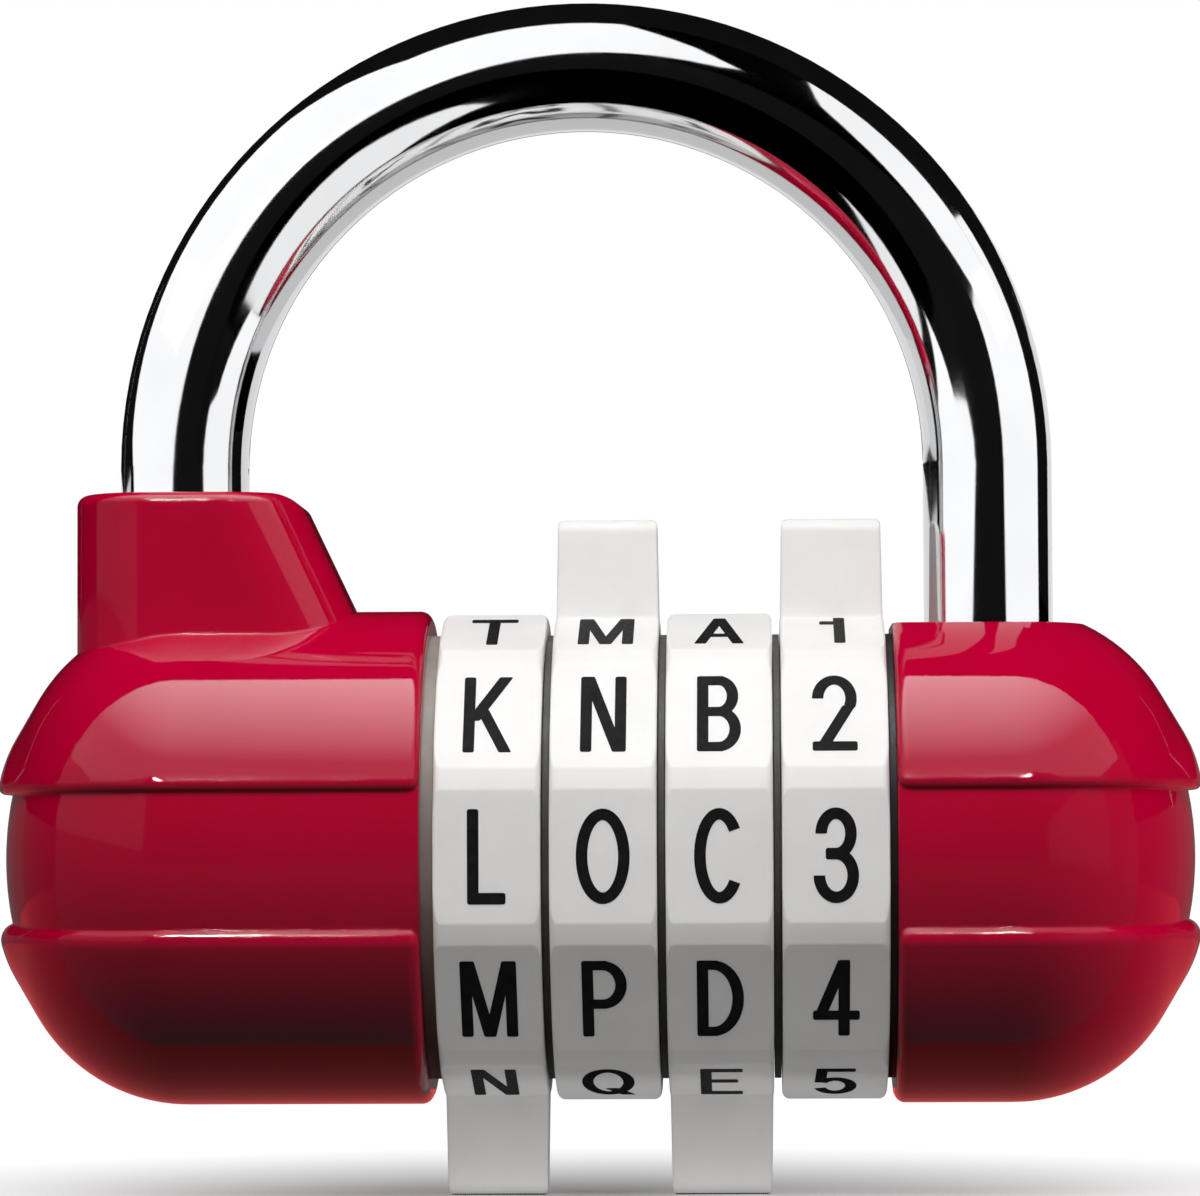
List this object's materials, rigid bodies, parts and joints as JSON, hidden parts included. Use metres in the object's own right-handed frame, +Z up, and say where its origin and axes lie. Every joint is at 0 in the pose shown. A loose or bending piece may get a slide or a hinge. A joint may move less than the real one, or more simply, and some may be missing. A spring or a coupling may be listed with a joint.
{
  "type": "combination padlock",
  "caption": "Barrel-bodied word combination padlock with enamelled end caps, a round-bar shackle and faceted lettered dials that each carry a finger fin.",
  "frame": {"origin": "inside of the shackle's crown, where the padlock hangs on a hasp", "axes": "+X towards the short end cap along the dial axis, +Y to the back, +Z up along the shackle's legs"},
  "size_m": [0.065, 0.0258, 0.0648],
  "materials": {
    "red_enamel": "gloss baked enamel over a die casting",
    "chromed_bar": "polished chrome plate",
    "dial_plastic": "satin ivory-white moulding with inked characters",
    "washer_plastic": "dull beige-grey",
    "black_plate": "dull black",
    "hub_brass": "turned",
    "spindle_brass": "turned",
    "tube_steel": "zinc plated",
    "pin_steel": "hardened, ground",
    "spring_steel": "bright spring steel"
  },
  "bodies": {
    "lock_body": {"left_housing": "red_enamel", "right_housing": "red_enamel", "core_tube": "tube_steel", "heel_stop_pin": "pin_steel", "tube_key_pin": "pin_steel", "case_screw": "pin_steel", "left_bearing_plate": "washer_plastic", "right_bearing_plate": "black_plate", "spindle_spring": "spring_steel", "spacer_washer_1": "washer_plastic", "spacer_washer_2": "washer_plastic", "spacer_washer_3": "washer_plastic", "click_spring_1": "spring_steel", "click_spring_2": "spring_steel", "click_spring_3": "spring_steel", "click_spring_4": "spring_steel"},
    "shackle": {"shackle": "chromed_bar"},
    "spindle": {"spindle": "spindle_brass"},
    "dial_1": {"dial_1": "dial_plastic", "hub_1": "hub_brass"},
    "dial_2": {"dial_2": "dial_plastic", "hub_2": "hub_brass"},
    "dial_3": {"dial_3": "dial_plastic", "hub_3": "hub_brass"},
    "dial_4": {"dial_4": "dial_plastic", "hub_4": "hub_brass"}
  },
  "joints": [
    {"name": "shackle_lift", "type": "slide", "parent": "lock_body", "child": "shackle", "axis": [0, 0, 1], "range_m": [0, 0.009]},
    {"name": "spindle_slide", "type": "slide", "parent": "lock_body", "child": "spindle", "axis": [1, 0, 0], "range_m": [0, 0.00225], "stiffness_N_per_m": 150, "springref_m": -0.003, "deforming": ["spindle_spring"]},
    {"name": "dial_1_turn", "type": "hinge", "parent": "lock_body", "child": "dial_1", "pos_m": [0, 0, -0.03957], "axis": [1, 0, 0], "continuous": true, "deforming": ["click_spring_1"]},
    {"name": "dial_2_turn", "type": "hinge", "parent": "lock_body", "child": "dial_2", "pos_m": [0, 0, -0.03957], "axis": [1, 0, 0], "continuous": true, "deforming": ["click_spring_2"]},
    {"name": "dial_3_turn", "type": "hinge", "parent": "lock_body", "child": "dial_3", "pos_m": [0, 0, -0.03957], "axis": [1, 0, 0], "continuous": true, "deforming": ["click_spring_3"]},
    {"name": "dial_4_turn", "type": "hinge", "parent": "lock_body", "child": "dial_4", "pos_m": [0, 0, -0.03957], "axis": [1, 0, 0], "continuous": true, "deforming": ["click_spring_4"]}
  ],
  "couplings": [
    {"joint": "spindle_slide", "follows": "shackle_lift", "ratio": 0.25}
  ]
}
